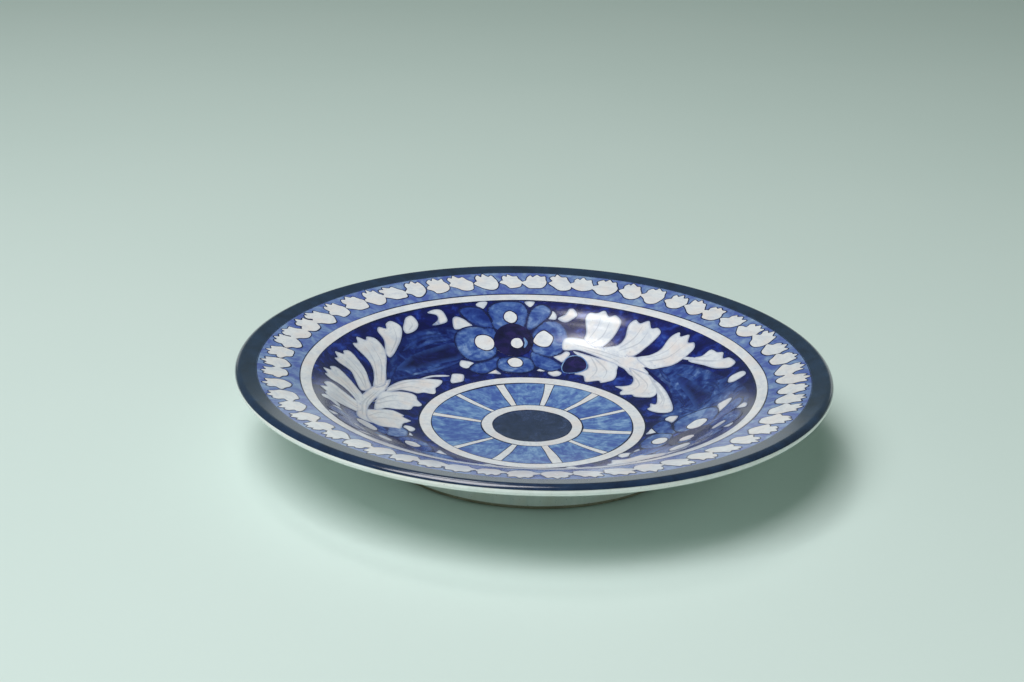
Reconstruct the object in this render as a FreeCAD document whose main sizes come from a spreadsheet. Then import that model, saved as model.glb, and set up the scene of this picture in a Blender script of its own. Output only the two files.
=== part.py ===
import FreeCAD, Part
import math
import os

import Sketcher

# Hand painted ceramic plate on a foot ring: the fired clay, its glazes and its painted colours.
# The plate is a body of revolution about +Z, in millimetres, and stands on Z = 0.  Its upper face is
# four tangent arcs, from the middle out: floor, well, shoulder and flange, closed by the half round of
# the lip.  Every layer is drawn on that one profile, so that neighbouring layers meet face to face.

# Driving dimensions, in millimetres, degrees or pieces: name of the cell and its value.
DIMENSIONS = {
    "plate_radius": 120.0,
    "floor_height": 6.3,
    "floor_curve": 390.0,
    "well_curve": 65.2,
    "shoulder_curve": 42.0,
    "flange_curve": 249.0,
    "lip_curve": 2.3,
    "well_start_radius": 46.2,
    "shoulder_start_radius": 79.5,
    "flange_start_radius": 94.0,
    "paint_thickness": 0.15,
    "glaze_thickness": 0.3,
    "motif_thickness": 0.1,
    "hub_disc_radius": 16.4,
    "hub_line_radius": 20.7,
    "panel_outer_radius": 41.6,
    "well_line_radius": 90.1,
    "lip_band_radius": 111.6,
    "lip_band_angle": 20.0,
    "motif_field_inner_radius": 50.0,
    "motif_field_outer_radius": 89.0,
    "leaf_inner_radius": 98.0,
    "leaf_outer_radius": 109.6,
    "leaf_width": 7.6,
    "leaf_count": 58,
    "spoke_inner_width": 2.0,
    "spoke_outer_width": 3.7,
    "flower_radius": 68.7,
    "flower_centre_radius": 9.1,
    "flower_first_angle": 97.0,
    "flower_count": 3,
    "petal_offset": 14.6,
    "petal_half_length": 5.8,
    "petal_half_width": 4.2,
    "foot_inner_radius": 57.0,
    "foot_outer_radius": 64.0,
    "foot_bevel": 0.8,
    "foot_bare_height": 1.6,
}

# The spokes are painted by eye, so they are spaced unevenly: degrees anticlockwise from +X.
SPOKE_ANGLES = [21, 50, 80, 111, 141, 174, 223, 251, 284.5, 316, 349]
PETALS_PER_FLOWER = 4
CUTTER_HEIGHT = 60.0    # taller than the plate, so that a cutter passes right through it
CUTTER_OVERLAP = 2.0    # mm that the spoke cutters run past the panels at each end
TOUCH = 1e-6            # stops nearer than this are the same point

PAINT = "Sheet.paint_thickness"
GLAZE = "(Sheet.paint_thickness + Sheet.glaze_thickness)"
MOTIF = "(-Sheet.motif_thickness)"
SURFACE = "0"

doc = FreeCAD.newDocument("plate")


# ----------------------------------------------------------------------------------------------------
# The driving sheet, and the arc centres worked out from it
# ----------------------------------------------------------------------------------------------------

def make_sheet():
    """A spreadsheet with one driving dimension on each row."""
    cells = doc.addObject("Spreadsheet::Sheet", "Sheet")
    for row, (name, number) in enumerate(DIMENSIONS.items(), start=1):
        cells.set(f"A{row}", name)
        cells.set(f"B{row}", str(number))
        cells.setAlias(f"B{row}", name)
    doc.recompute()
    return cells


def make_profile():
    """The arc centres of the upper face, each arc tangent to the one before it."""
    formulas = {
        "floor_x": "0",
        "floor_z": "Sheet.floor_height + Sheet.floor_curve",
        "well_x": "Sheet.well_start_radius * (1 - Sheet.well_curve / Sheet.floor_curve)",
        "well_z": "floor_z - (Sheet.floor_curve - Sheet.well_curve)"
                  " * sqrt(1 - (Sheet.well_start_radius / Sheet.floor_curve) ^ 2)",
        "well_end_drop": "sqrt(Sheet.well_curve ^ 2 - (Sheet.shoulder_start_radius - well_x) ^ 2)",
        "well_to_shoulder": "(Sheet.well_curve + Sheet.shoulder_curve) / Sheet.well_curve",
        "shoulder_x": "well_x + (Sheet.shoulder_start_radius - well_x) * well_to_shoulder",
        "shoulder_z": "well_z - well_end_drop * well_to_shoulder",
        "shoulder_end_rise": "sqrt(Sheet.shoulder_curve ^ 2 - (shoulder_x - Sheet.flange_start_radius) ^ 2)",
        "shoulder_to_flange": "Sheet.flange_curve / Sheet.shoulder_curve",
        "flange_x": "Sheet.flange_start_radius"
                    " + (shoulder_x - Sheet.flange_start_radius) * shoulder_to_flange",
        "flange_z": "shoulder_z + shoulder_end_rise * (1 - shoulder_to_flange)",
        "lip_x": "Sheet.plate_radius - Sheet.lip_curve",
        "lip_z": "flange_z + sqrt((Sheet.flange_curve - Sheet.lip_curve) ^ 2 - (flange_x - lip_x) ^ 2)",
        "lip_lean": "(flange_x - lip_x) / (Sheet.flange_curve - Sheet.lip_curve)",
        "wall": "2 * Sheet.lip_curve",
    }
    derived = doc.addObject("App::VarSet", "Profile")
    for name, formula in formulas.items():
        derived.addProperty("App::PropertyFloat", name, "Profile")
        derived.setExpression(name, formula)
        doc.recompute()
    return derived


sheet = make_sheet()
profile = make_profile()


def cell(name):
    """The number in a cell of the sheet."""
    return float(getattr(sheet, name))


DEPTHS = {
    SURFACE: 0.0,
    PAINT: cell("paint_thickness"),
    GLAZE: cell("paint_thickness") + cell("glaze_thickness"),
    MOTIF: -cell("motif_thickness"),
}


def under(depth):
    """The same layer depth, counted from the underside of the wall."""
    formula = f"(Profile.wall - {depth})"
    DEPTHS[formula] = profile.wall - DEPTHS[depth]
    return formula


class Curve:
    """One arc of the upper face.  Layers below it share its centre."""

    def __init__(self, name, centre_above):
        self.name = name
        self.above = centre_above
        self.x = getattr(profile, f"{name}_x")
        self.z = getattr(profile, f"{name}_z")

    def radius(self, depth):
        """Radius of the layer at a depth below the face."""
        change = DEPTHS[depth] if self.above else -DEPTHS[depth]
        return cell(f"{self.name}_curve") + change

    def radius_formula(self, depth):
        return f"Sheet.{self.name}_curve {'+' if self.above else '-'} {depth}"

    def angle_at(self, distance, depth):
        """Angle about the centre of the point at a distance from the plate's axis."""
        angle = math.acos((distance - self.x) / self.radius(depth))
        return -angle if self.above else angle


FLOOR = Curve("floor", True)
WELL = Curve("well", True)
SHOULDER = Curve("shoulder", False)
FLANGE = Curve("flange", False)
LIP = Curve("lip", False)

# Where each arc of the face hands over to the next one.
HANDOVERS = [
    (FLOOR, "well_start_radius"),
    (WELL, "shoulder_start_radius"),
    (SHOULDER, "flange_start_radius"),
]
FACE = [FLOOR, WELL, SHOULDER, FLANGE]


# ----------------------------------------------------------------------------------------------------
# Points and runs along the profile
# ----------------------------------------------------------------------------------------------------

class Stop:
    """A point of an outline, with the formulas that hold it.  Without formulas it is on the axis."""

    def __init__(self, x, z, x_formula=None, z_formula=None):
        self.x = x
        self.z = z
        self.x_formula = x_formula
        self.z_formula = z_formula


def on_curve(curve, depth, angle, **formulas):
    """A stop on one arc, by its angle about the arc's centre."""
    radius = curve.radius(depth)
    return Stop(curve.x + radius * math.cos(angle), curve.z + radius * math.sin(angle), **formulas)


def on_axis(depth):
    """The middle of the plate."""
    return on_curve(FLOOR, depth, -math.pi / 2)


def handover(index, depth):
    """The shared point of two neighbouring arcs, which lies on the line through their centres."""
    curve, name = HANDOVERS[index]
    reach = curve.radius(depth) / cell(f"{curve.name}_curve")
    distance = curve.x + (cell(name) - curve.x) * reach
    centre = f"Profile.{curve.name}_x"
    formula = (f"{centre} + (Sheet.{name} - {centre}) * ({curve.radius_formula(depth)})"
               f" / Sheet.{curve.name}_curve")
    return on_curve(curve, depth, curve.angle_at(distance, depth), x_formula=formula)


def face_index(distance, depth):
    """Which arc of the face lies at a distance from the axis."""
    return sum(distance > handover(index, depth).x for index in range(len(HANDOVERS)))


def at_radius(name, depth):
    """The point of the face at one of the sheet's radii."""
    for index, (_, handover_name) in enumerate(HANDOVERS):
        if name == handover_name:
            return handover(index, depth)
    curve = FACE[face_index(cell(name), depth)]
    return on_curve(curve, depth, curve.angle_at(cell(name), depth), x_formula=f"Sheet.{name}")


def lip_top(depth):
    """Where the flange's upper face runs into the lip."""
    formula = f"Profile.lip_x - ({LIP.radius_formula(depth)}) * Profile.lip_lean"
    return on_curve(LIP, depth, math.acos(-profile.lip_lean), x_formula=formula)


def lip_underside(depth):
    """Where the lip runs into the underside."""
    formula = f"Profile.lip_x + ({LIP.radius_formula(depth)}) * Profile.lip_lean"
    return on_curve(LIP, depth, math.acos(-profile.lip_lean) - math.pi, x_formula=formula)


def lip_at(name, depth):
    """The point of the lip at one of the sheet's angles above the horizontal."""
    formula = f"Profile.lip_z + ({LIP.radius_formula(depth)}) * sin(Sheet.{name} * 1 deg)"
    return on_curve(LIP, depth, math.radians(cell(name)), z_formula=formula)


class Arc:
    """A run of an outline along one arc of the profile."""

    def __init__(self, curve, depth, start, end, outward=True):
        self.curve = curve
        self.depth = depth
        self.start = start
        self.end = end
        self.anticlockwise = curve.above == outward


class Corner:
    """A corner of an outline where two straight edges meet."""

    def __init__(self, x, z, x_formula, z_formula):
        self.start = self.end = Stop(x, z, x_formula, z_formula)


def along_face(start, end, depth):
    """The arcs of the face between two stops, from the inner one outwards."""
    last = face_index(end.x - TOUCH, depth)
    arcs = []
    for index in range(face_index(start.x + TOUCH, depth), last + 1):
        stop = end if index == last else handover(index, depth)
        arcs.append(Arc(FACE[index], depth, start, stop))
        start = stop
    return arcs


def back_along_face(start, end, depth):
    """The same arcs from the outer stop inwards."""
    arcs = along_face(end, start, depth)
    return [Arc(arc.curve, depth, arc.end, arc.start, outward=False) for arc in reversed(arcs)]


# ----------------------------------------------------------------------------------------------------
# Half sections, drawn in the XZ plane and turned about Z
# ----------------------------------------------------------------------------------------------------

class Section:
    """A closed outline of profile arcs and straight edges in a PartDesign body, bound to the sheet."""

    VERTICAL_AXIS = -2
    ORIGIN = (-1, 1)

    def __init__(self, name):
        self.body = doc.addObject("PartDesign::Body", name)
        self.body.Label = name
        self.sketch = self.body.newObject("Sketcher::SketchObject", f"{name}_section")
        plane = next(item for item in self.body.Origin.OriginFeatures if item.Role == "XZ_Plane")
        self.sketch.AttachmentSupport = [(plane, "")]
        self.sketch.MapMode = "FlatFace"

    def constrain(self, *constraint):
        return self.sketch.addConstraint(Sketcher.Constraint(*constraint))

    def bind(self, formula, *constraint):
        number = self.constrain(*constraint)
        self.sketch.setExpression(f"Constraints[{number}]", formula)

    def place(self, stop, geometry, point):
        """Hold a point at its distance from the axis, at its height, or on the axis."""
        if stop.x_formula:
            self.bind(stop.x_formula, "DistanceX", *self.ORIGIN, geometry, point, stop.x)
        if stop.z_formula:
            self.bind(stop.z_formula, "DistanceY", *self.ORIGIN, geometry, point, stop.z)
        if not stop.x_formula and not stop.z_formula:
            self.constrain("PointOnObject", geometry, point, self.VERTICAL_AXIS)

    def draw_arc(self, arc, tangent_before):
        """Add an arc.  Its centre is placed unless the arc before it holds it by tangency."""
        centre = Stop(arc.curve.x, arc.curve.z, f"Profile.{arc.curve.name}_x", f"Profile.{arc.curve.name}_z")
        circle = Part.Circle(FreeCAD.Vector(centre.x, centre.z, 0), FreeCAD.Vector(0, 0, 1),
                             arc.curve.radius(arc.depth))
        angles = [math.atan2(stop.z - centre.z, stop.x - centre.x) for stop in (arc.start, arc.end)]
        low, high = angles if arc.anticlockwise else reversed(angles)
        number = self.sketch.addGeometry(Part.ArcOfCircle(circle, low, high), False)
        arc.first = (number, 1 if arc.anticlockwise else 2)
        arc.last = (number, 2 if arc.anticlockwise else 1)
        self.bind(arc.curve.radius_formula(arc.depth), "Radius", number, circle.Radius)
        if not tangent_before:
            if arc.curve is FLOOR:
                centre.x_formula = None
                self.constrain("PointOnObject", number, 3, self.VERTICAL_AXIS)
            self.place(centre, number, 3)
            self.place(arc.start, *arc.first)
        self.place(arc.end, *arc.last)

    def draw_line(self, before, after):
        """Add the straight edge between two runs."""
        ends = [FreeCAD.Vector(stop.x, stop.z, 0) for stop in (before.end, after.start)]
        number = self.sketch.addGeometry(Part.LineSegment(*ends), False)
        self.constrain("Coincident", *before.last, number, 1)
        if isinstance(after, Arc):
            self.constrain("Coincident", number, 2, *after.first)
        else:
            after.last = (number, 2)
            self.place(after.start, number, 2)

    def draw(self, runs):
        """Draw a closed outline that starts with an arc, with straight edges across its gaps."""
        pairs = list(zip(runs, runs[1:] + runs[:1]))
        touching = [isinstance(a, Arc) and isinstance(b, Arc) and a.end is b.start for a, b in pairs]
        for index, run in enumerate(runs):
            if isinstance(run, Arc):
                self.draw_arc(run, tangent_before=touching[index - 1])
        for (before, after), touches in zip(pairs, touching):
            if touches:
                self.constrain("Tangent", *before.last, *after.first)
            else:
                self.draw_line(before, after)
        return self

    def turn(self):
        """Turn the section into a solid about the plate's axis."""
        turned = self.body.newObject("PartDesign::Revolution", f"{self.body.Label}_turned")
        turned.Profile = self.sketch
        turned.ReferenceAxis = (self.sketch, ["V_Axis"])
        turned.Angle = 360
        self.body.Tip = turned
        doc.recompute()
        return self.body


def layer(name, inner, outer, top, bottom):
    """A layer of the face between two radii of the sheet, from one depth to another."""
    upper = [at_radius(inner, top) if inner else on_axis(top), at_radius(outer, top)]
    lower = [at_radius(inner, bottom) if inner else on_axis(bottom), at_radius(outer, bottom)]
    runs = along_face(*upper, top) + back_along_face(lower[1], lower[0], bottom)
    return Section(name).draw(runs).turn()


# ----------------------------------------------------------------------------------------------------
# Fired clay
# ----------------------------------------------------------------------------------------------------

def make_clay_body():
    """The thrown dish: floor, well, flange and rounded lip, with the glaze left off."""
    tip = lip_top(GLAZE)
    turn = lip_underside(GLAZE)
    runs = along_face(on_axis(GLAZE), tip, GLAZE)
    runs.append(Arc(LIP, GLAZE, tip, turn))
    runs += back_along_face(turn, on_axis(under(GLAZE)), under(GLAZE))
    return Section("clay_body").draw(runs).turn()


def make_foot_ring():
    """The ring that the plate stands on.  Its top follows the underside of the well."""
    depth = under(GLAZE)
    runs = along_face(at_radius("foot_inner_radius", depth), at_radius("foot_outer_radius", depth), depth)
    bevel = cell("foot_bevel")
    outer = cell("foot_outer_radius")
    inner = cell("foot_inner_radius")
    runs += [
        Corner(outer, bevel, "Sheet.foot_outer_radius", "Sheet.foot_bevel"),
        Corner(outer - bevel, 0, "Sheet.foot_outer_radius - Sheet.foot_bevel", "0"),
        Corner(inner + bevel, 0, "Sheet.foot_inner_radius + Sheet.foot_bevel", "0"),
        Corner(inner, bevel, "Sheet.foot_inner_radius", "Sheet.foot_bevel"),
    ]
    return Section("foot_ring").draw(runs).turn()


# ----------------------------------------------------------------------------------------------------
# White glaze
# ----------------------------------------------------------------------------------------------------

def make_white_ground():
    """The white glaze under the painting, from the middle over the lip to its underside."""
    top, turn = lip_top(PAINT), lip_underside(PAINT)
    inner_top, inner_turn = lip_top(GLAZE), lip_underside(GLAZE)
    runs = along_face(on_axis(PAINT), top, PAINT)
    runs.append(Arc(LIP, PAINT, top, turn))
    runs.append(Arc(LIP, GLAZE, inner_turn, inner_top, outward=False))
    runs += back_along_face(inner_top, on_axis(GLAZE), GLAZE)
    return Section("white_ground").draw(runs).turn()


def make_back_glaze():
    """The white glaze of the underside, from the lip down the outside of the foot ring."""
    outside, inside = under(PAINT), under(GLAZE)
    inner_turn = lip_underside(GLAZE)
    foot = at_radius("foot_outer_radius", inside)
    runs = along_face(foot, inner_turn, inside)
    skirt = cell("foot_outer_radius") + cell("glaze_thickness")
    skirt_formula = "Sheet.foot_outer_radius + Sheet.glaze_thickness"
    curve = FACE[face_index(skirt, outside)]
    skirt_top = on_curve(curve, outside, curve.angle_at(skirt, outside), x_formula=skirt_formula)
    runs += back_along_face(lip_underside(PAINT), skirt_top, outside)
    bare = cell("foot_bare_height")
    runs += [
        Corner(skirt, bare, skirt_formula, "Sheet.foot_bare_height"),
        Corner(cell("foot_outer_radius"), bare, "Sheet.foot_outer_radius", "Sheet.foot_bare_height"),
    ]
    return Section("back_glaze").draw(runs).turn()


# ----------------------------------------------------------------------------------------------------
# Painted bands of the face
# ----------------------------------------------------------------------------------------------------

def make_lip_band():
    """The dark band that is painted over the lip."""
    top, inner_top = lip_top(SURFACE), lip_top(PAINT)
    runs = along_face(at_radius("lip_band_radius", SURFACE), top, SURFACE)
    runs.append(Arc(LIP, SURFACE, top, lip_at("lip_band_angle", SURFACE)))
    runs.append(Arc(LIP, PAINT, lip_at("lip_band_angle", PAINT), inner_top, outward=False))
    runs += back_along_face(inner_top, at_radius("lip_band_radius", PAINT), PAINT)
    return Section("lip_band").draw(runs).turn()


def make_bands():
    """The plain painted rings and discs, side by side from the middle to the lip band."""
    layer("hub_disc", None, "hub_disc_radius", SURFACE, PAINT)
    layer("hub_line", "hub_disc_radius", "hub_line_radius", SURFACE, PAINT)
    layer("medallion_line", "panel_outer_radius", "well_start_radius", SURFACE, PAINT)
    layer("well_wash", "well_start_radius", "well_line_radius", SURFACE, PAINT)
    layer("well_line", "well_line_radius", "flange_start_radius", SURFACE, PAINT)
    layer("border_wash", "flange_start_radius", "lip_band_radius", SURFACE, PAINT)


# ----------------------------------------------------------------------------------------------------
# Painted motifs: a layer of the face cut to shape from above
# ----------------------------------------------------------------------------------------------------

def primitive(kind, name, formulas, angle=0, shift=0):
    """A Part primitive bound to the sheet, moved out along X and then turned about Z by an angle."""
    shape = doc.addObject(kind, name)
    for item, formula in formulas.items():
        shape.setExpression(item, formula)
    turned = FreeCAD.Rotation(FreeCAD.Vector(0, 0, 1), angle)
    shape.Placement = FreeCAD.Placement(turned.multVec(FreeCAD.Vector(shift, 0, 0)), turned)
    return shape


def boolean(kind, name, **links):
    """A Part boolean of other objects, labelled as a finished piece."""
    result = doc.addObject(kind, name)
    result.Label = name
    for item, link in links.items():
        setattr(result, item, link)
    doc.recompute()
    return result


def make_spoke_cutters():
    """Tapered wedges that stand across the medallion, one for each spoke."""
    cutters = []
    for number, angle in enumerate(SPOKE_ANGLES):
        formulas = {
            "Ymin": f"Sheet.hub_line_radius - {CUTTER_OVERLAP}",
            "Ymax": f"Sheet.panel_outer_radius + {CUTTER_OVERLAP}",
            "Xmin": "-Sheet.spoke_inner_width / 2",
            "Xmax": "Sheet.spoke_inner_width / 2",
            "X2min": "-Sheet.spoke_outer_width / 2",
            "X2max": "Sheet.spoke_outer_width / 2",
            "Zmin": "0",
            "Zmax": str(CUTTER_HEIGHT),
            "Z2min": "0",
            "Z2max": str(CUTTER_HEIGHT),
        }
        cutters.append(primitive("Part::Wedge", f"spoke_cutter_{number}", formulas, angle - 90))
    return boolean("Part::Compound", "spoke_cutters", Links=cutters)


def make_medallion():
    """Eleven blue panels around the hub, parted by as many white spokes."""
    ring = layer("medallion_ring_blank", "hub_line_radius", "panel_outer_radius", SURFACE, PAINT)
    cutters = make_spoke_cutters()
    boolean("Part::Cut", "medallion_panels", Base=ring, Tool=cutters)
    boolean("Part::Common", "medallion_spokes", Base=ring, Tool=cutters)


def make_border_leaves():
    """The chain of white leaves round the flange: pointed ovals, each where two cylinders cross."""
    length = cell("leaf_outer_radius") - cell("leaf_inner_radius")
    width = cell("leaf_width")
    arc_radius = (length ** 2 + width ** 2) / (4 * width)
    middle = (cell("leaf_outer_radius") + cell("leaf_inner_radius")) / 2
    half = FreeCAD.Vector(0, arc_radius - width / 2, 0)
    upright = FreeCAD.Vector(0, 0, 1)
    oval = Part.makeCylinder(arc_radius, CUTTER_HEIGHT, half).common(
        Part.makeCylinder(arc_radius, CUTTER_HEIGHT, -half))
    count = int(cell("leaf_count"))
    ovals = []
    for number in range(count):
        blade = oval.copy()
        blade.Placement = FreeCAD.Placement(FreeCAD.Vector(middle, 0, 0), FreeCAD.Rotation())
        blade.rotate(FreeCAD.Vector(), upright, 360 * number / count)
        ovals.append(blade)
    cutter = doc.addObject("Part::Feature", "leaf_cutters")
    cutter.Shape = Part.makeCompound(ovals)
    ring = layer("border_leaf_blank", "flange_start_radius", "lip_band_radius", MOTIF, SURFACE)
    boolean("Part::Common", "border_leaves", Base=ring, Tool=cutter)


def make_flowers():
    """Three flowers in the well, each a round dark centre with four petals round it."""
    centres, petals = [], []
    upright = FreeCAD.Vector(0, 0, 1)
    count = int(cell("flower_count"))
    for flower in range(count):
        angle = cell("flower_first_angle") + 360 * flower / count
        disc = {"Radius": "Sheet.flower_centre_radius", "Height": str(CUTTER_HEIGHT)}
        centres.append(primitive("Part::Cylinder", f"centre_cutter_{flower}", disc, angle,
                                 cell("flower_radius")))
        for petal in range(PETALS_PER_FLOWER):
            turn = 360 * petal / PETALS_PER_FLOWER
            oval = Part.Ellipse(FreeCAD.Vector(), cell("petal_half_length"), cell("petal_half_width"))
            blade = Part.Face(Part.Wire(oval.toShape())).extrude(upright * CUTTER_HEIGHT)
            blade.rotate(FreeCAD.Vector(), upright, 90)
            blade.translate(FreeCAD.Vector(cell("petal_offset"), 0, 0))
            blade.rotate(FreeCAD.Vector(), upright, turn)
            blade.translate(FreeCAD.Vector(cell("flower_radius"), 0, 0))
            blade.rotate(FreeCAD.Vector(), upright, angle)
            petals.append(blade)
    ring = layer("flower_blank", "motif_field_inner_radius", "motif_field_outer_radius", MOTIF, SURFACE)
    discs = boolean("Part::Compound", "centre_cutters", Links=centres)
    boolean("Part::Common", "flower_centres", Base=ring, Tool=discs)
    petal_cutter = doc.addObject("Part::Feature", "petal_cutters")
    petal_cutter.Shape = Part.makeCompound(petals)
    trimmed = boolean("Part::Cut", "petal_cutters_trimmed", Base=petal_cutter, Tool=discs)
    boolean("Part::Common", "flower_petals", Base=ring, Tool=trimmed)


# ----------------------------------------------------------------------------------------------------
# The finished plate
# ----------------------------------------------------------------------------------------------------

SUB_PARTS = [
    "clay_body", "foot_ring", "white_ground", "back_glaze", "foot_well_glaze",
    "lip_band", "border_wash", "border_leaves", "well_line", "well_wash",
    "flower_centres", "flower_petals", "medallion_line", "medallion_panels", "medallion_spokes",
    "hub_line", "hub_disc",
]


def check_and_export():
    """Stop on a failed object or a bad solid, and write each sub-part to its own file."""
    doc.recompute()
    for item in doc.Objects:
        if "Invalid" in item.State or "Error" in item.State:
            raise RuntimeError(f"{item.Name} did not recompute: {item.State}")
    os.makedirs("parts", exist_ok=True)
    for name in SUB_PARTS:
        shape = doc.getObject(name).Shape
        if shape.isNull() or not shape.isValid() or not shape.Solids:
            raise RuntimeError(f"{name} has no valid solid")
        box = shape.optimalBoundingBox()
        print(f"{name}: {len(shape.Solids)} solids, {shape.Volume:.1f} mm3, "
              f"z {box.ZMin:.2f} to {box.ZMax:.2f}, reach {box.XMax:.2f}")
        shape.exportStep(os.path.join("parts", f"{name}.step"))


make_clay_body()
make_foot_ring()
make_white_ground()
make_back_glaze()
layer("foot_well_glaze", None, "foot_inner_radius", under(GLAZE), under(PAINT))
make_lip_band()
make_bands()
make_medallion()
make_border_leaves()
make_flowers()
check_and_export()
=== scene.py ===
import math
import random

import bpy
import numpy as np
from mathutils import Matrix, Vector
from mathutils.geometry import delaunay_2d_cdt


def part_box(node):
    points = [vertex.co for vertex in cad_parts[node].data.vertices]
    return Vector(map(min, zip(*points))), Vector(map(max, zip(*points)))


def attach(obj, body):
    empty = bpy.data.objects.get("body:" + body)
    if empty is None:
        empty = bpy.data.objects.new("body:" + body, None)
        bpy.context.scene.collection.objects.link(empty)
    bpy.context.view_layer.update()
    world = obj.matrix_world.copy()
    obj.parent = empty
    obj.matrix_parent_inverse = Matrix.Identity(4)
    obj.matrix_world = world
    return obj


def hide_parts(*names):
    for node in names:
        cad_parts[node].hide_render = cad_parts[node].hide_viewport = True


# A hand painted plate: smooth glazed bands turned about Z, with the painting laid on them as thin
# films.  Shapes are worked out in millimetres and scaled to metres when a mesh is made.

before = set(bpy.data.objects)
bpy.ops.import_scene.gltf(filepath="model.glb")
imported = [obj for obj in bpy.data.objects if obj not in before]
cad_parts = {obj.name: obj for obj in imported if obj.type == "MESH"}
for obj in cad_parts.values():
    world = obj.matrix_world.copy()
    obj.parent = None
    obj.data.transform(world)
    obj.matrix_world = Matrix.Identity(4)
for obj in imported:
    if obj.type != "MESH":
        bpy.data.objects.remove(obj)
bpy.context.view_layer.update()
MM = 0.001


def reach(node):
    """How far a CAD node reaches from the plate's axis, in millimetres."""
    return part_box(node)[1][0] / MM


# ---- The plate's profile: four tangent arcs and the round of the lip, in millimetres ----

FLOOR_CURVE = 390.0
WELL_CURVE = 65.2
SHOULDER_CURVE = 42.0
FLANGE_CURVE = 249.0
LIP_CURVE = 2.3
FLOOR_HEIGHT = 6.3
WELL_START = 46.2
SHOULDER_START = 79.5
FLANGE_START = 94.0
PLATE_RADIUS = 120.0
PAINT = 0.15            # the paint films lie this deep in the face
WALL = 2 * LIP_CURVE

FLOOR_Z = FLOOR_HEIGHT + FLOOR_CURVE
WELL_X = WELL_START * (1 - WELL_CURVE / FLOOR_CURVE)
WELL_Z = FLOOR_Z - (FLOOR_CURVE - WELL_CURVE) * math.sqrt(1 - (WELL_START / FLOOR_CURVE) ** 2)
TURN = (WELL_CURVE + SHOULDER_CURVE) / WELL_CURVE
SHOULDER_X = WELL_X + (SHOULDER_START - WELL_X) * TURN
SHOULDER_Z = WELL_Z - math.sqrt(WELL_CURVE ** 2 - (SHOULDER_START - WELL_X) ** 2) * TURN
FLATTEN = FLANGE_CURVE / SHOULDER_CURVE
FLANGE_X = FLANGE_START + (SHOULDER_X - FLANGE_START) * FLATTEN
SHOULDER_RISE = math.sqrt(SHOULDER_CURVE ** 2 - (SHOULDER_X - FLANGE_START) ** 2)
FLANGE_Z = SHOULDER_Z + SHOULDER_RISE * (1 - FLATTEN)
LIP_X = PLATE_RADIUS - LIP_CURVE
LIP_Z = FLANGE_Z + math.sqrt((FLANGE_CURVE - LIP_CURVE) ** 2 - (FLANGE_X - LIP_X) ** 2)
LIP_LEAN = (FLANGE_X - LIP_X) / (FLANGE_CURVE - LIP_CURVE)

# Radii of the painted bands, from the CAD nodes that they cover.
HUB = reach("hub_disc")
HUB_LINE = reach("hub_line")
PANEL = reach("medallion_panels")
WELL_LINE = reach("well_wash")
LIP_BAND = reach("border_wash")
PATTERN = LIP_X         # painted places are given as parts of the radius to the middle of the lip


def face_height(r, depth=0.0):
    """Height of the face, or of a layer below it, at a distance from the axis."""
    r = np.asarray(r, dtype=float)

    def concave(x, z, radius):
        return z - np.sqrt(np.maximum((radius + depth) ** 2 - (r - x) ** 2, 0))

    def convex(x, z, radius):
        return z + np.sqrt(np.maximum((radius - depth) ** 2 - (r - x) ** 2, 0))

    return np.select(
        [r < WELL_START, r < SHOULDER_START, r < FLANGE_START],
        [concave(0, FLOOR_Z, FLOOR_CURVE), concave(WELL_X, WELL_Z, WELL_CURVE),
         convex(SHOULDER_X, SHOULDER_Z, SHOULDER_CURVE)],
        convex(FLANGE_X, FLANGE_Z, FLANGE_CURVE))


def face_normals(x, y):
    """Unit normals of the face above points of the plan."""
    r = np.maximum(np.hypot(x, y), 1e-6)
    step = 0.01
    slope = (face_height(r + step) - face_height(np.abs(r - step))) / (2 * step)
    slope = np.where(r < step, 0, slope)
    normals = np.stack([-slope * x / r, -slope * y / r, np.ones_like(r)], axis=-1)
    return normals / np.linalg.norm(normals, axis=-1, keepdims=True)


def lifted(x, y, lift):
    """Points of the face above a plan, raised along the normal."""
    x, y = np.asarray(x, dtype=float), np.asarray(y, dtype=float)
    base = np.stack([x, y, face_height(np.hypot(x, y))], axis=-1)
    return base + face_normals(x, y) * np.asarray(lift)[..., None]


# ---- Meshes ----

def make_piece(name, points, faces, normals, material, values=None):
    """A mesh object from points in millimetres, shaded with the face's own normals."""
    mesh = bpy.data.meshes.new(name)
    mesh.from_pydata([tuple(point) for point in np.asarray(points) * MM], [], faces)
    mesh.update()
    mesh.validate()
    mesh.shade_smooth()
    if normals is not None:
        mesh.normals_split_custom_set_from_vertices([tuple(normal) for normal in normals])
    for key, numbers in (values or {}).items():
        attribute = mesh.attributes.new(key, "FLOAT", "POINT")
        attribute.data.foreach_set("value", np.asarray(numbers, dtype=np.float32))
    mesh.materials.append(material)
    piece = bpy.data.objects.new(name, mesh)
    bpy.context.scene.collection.objects.link(piece)
    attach(piece, "root")
    return piece


WAVES = (2, 3, 5, 9, 14)


def wander(seed, size):
    """A small closed wobble of a hand painted circle, as a function of the angle."""
    chance = random.Random(seed)
    terms = [(wave, chance.uniform(0.3, 1.0) / wave ** 0.6, chance.uniform(0, math.tau))
             for wave in WAVES]
    total = sum(term[1] for term in terms)

    def offset(angle):
        return size * sum(gain * np.sin(wave * angle + phase) for wave, gain, phase in terms) / total

    return offset


SEGMENTS = 540          # points in each ring
ROUND = np.arange(SEGMENTS) * math.tau / SEGMENTS
ROW = 0.9               # spacing of the rings of a band, in millimetres
CREASE = 40             # degrees; sharper edges of a turned solid are not smoothed


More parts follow.
